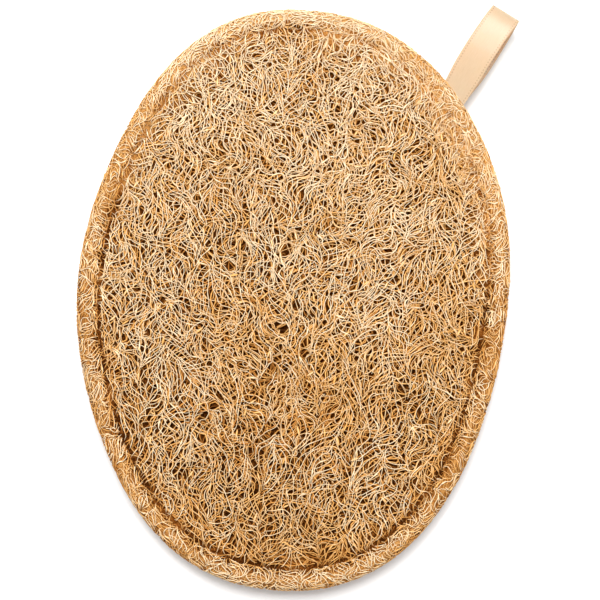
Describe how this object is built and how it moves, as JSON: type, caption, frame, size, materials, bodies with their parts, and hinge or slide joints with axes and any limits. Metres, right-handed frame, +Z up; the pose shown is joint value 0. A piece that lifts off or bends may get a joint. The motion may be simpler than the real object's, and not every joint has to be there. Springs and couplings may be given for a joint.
{
  "type": "natural loofah pad",
  "caption": "Flat oval bath pad of natural loofah sponge, its layers turned in and topstitched round the rim, with a satin ribbon loop for hanging at one corner.",
  "frame": {"origin": "middle of the flat spot on the back that the pad rests on", "axes": "+Z up out of the front face, +Y along the pad's long axis towards the end with the ribbon loop, +X towards the loop's side"},
  "size_m": [0.1362, 0.1903, 0.0214],
  "materials": {
    "loofah": "dry tan fibre net, cream on the raised strands and brown in the gaps",
    "thread": "matt brown sewing thread",
    "ribbon": "peach satin with woven edges"
  },
  "bodies": {
    "root": {"loofah_front": "loofah", "loofah_back": "loofah", "needle_thread": "thread", "bobbin_thread": "thread", "hanging_loop": "ribbon"}
  },
  "joints": []
}
